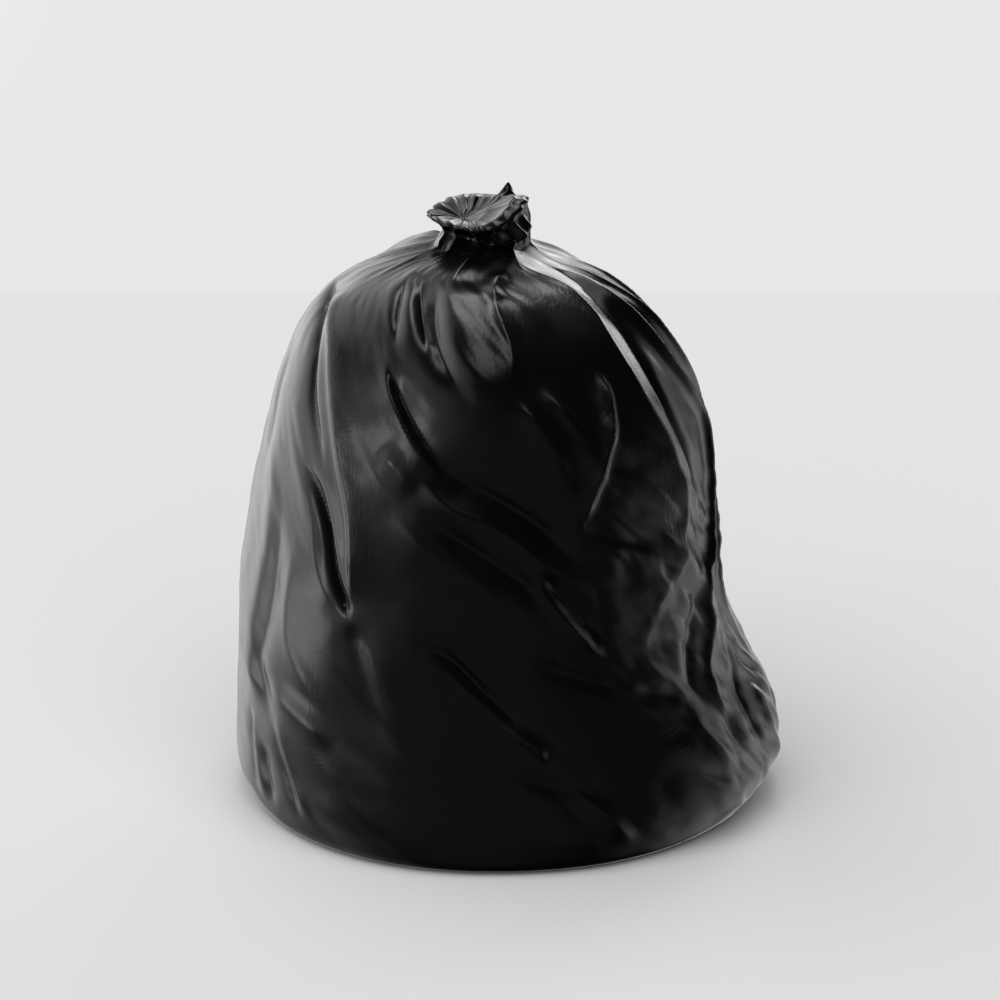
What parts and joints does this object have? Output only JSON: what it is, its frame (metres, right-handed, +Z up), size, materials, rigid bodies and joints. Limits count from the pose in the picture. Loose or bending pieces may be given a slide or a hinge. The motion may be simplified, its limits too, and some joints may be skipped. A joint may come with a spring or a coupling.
{
  "type": "full bin bag",
  "caption": "Filled black refuse sack, gathered and folded over at the neck, standing on its flattened base.",
  "frame": {"origin": "middle of the flat base, on the floor that the bag stands on", "axes": "+Z up along the bag; the front, where the long folds wind down, faces -Y"},
  "size_m": [0.5472, 0.5308, 0.6118],
  "materials": {
    "film": "glossy black polythene film, creased"
  },
  "bodies": {
    "root": {"bin_bag": "film"}
  },
  "joints": []
}
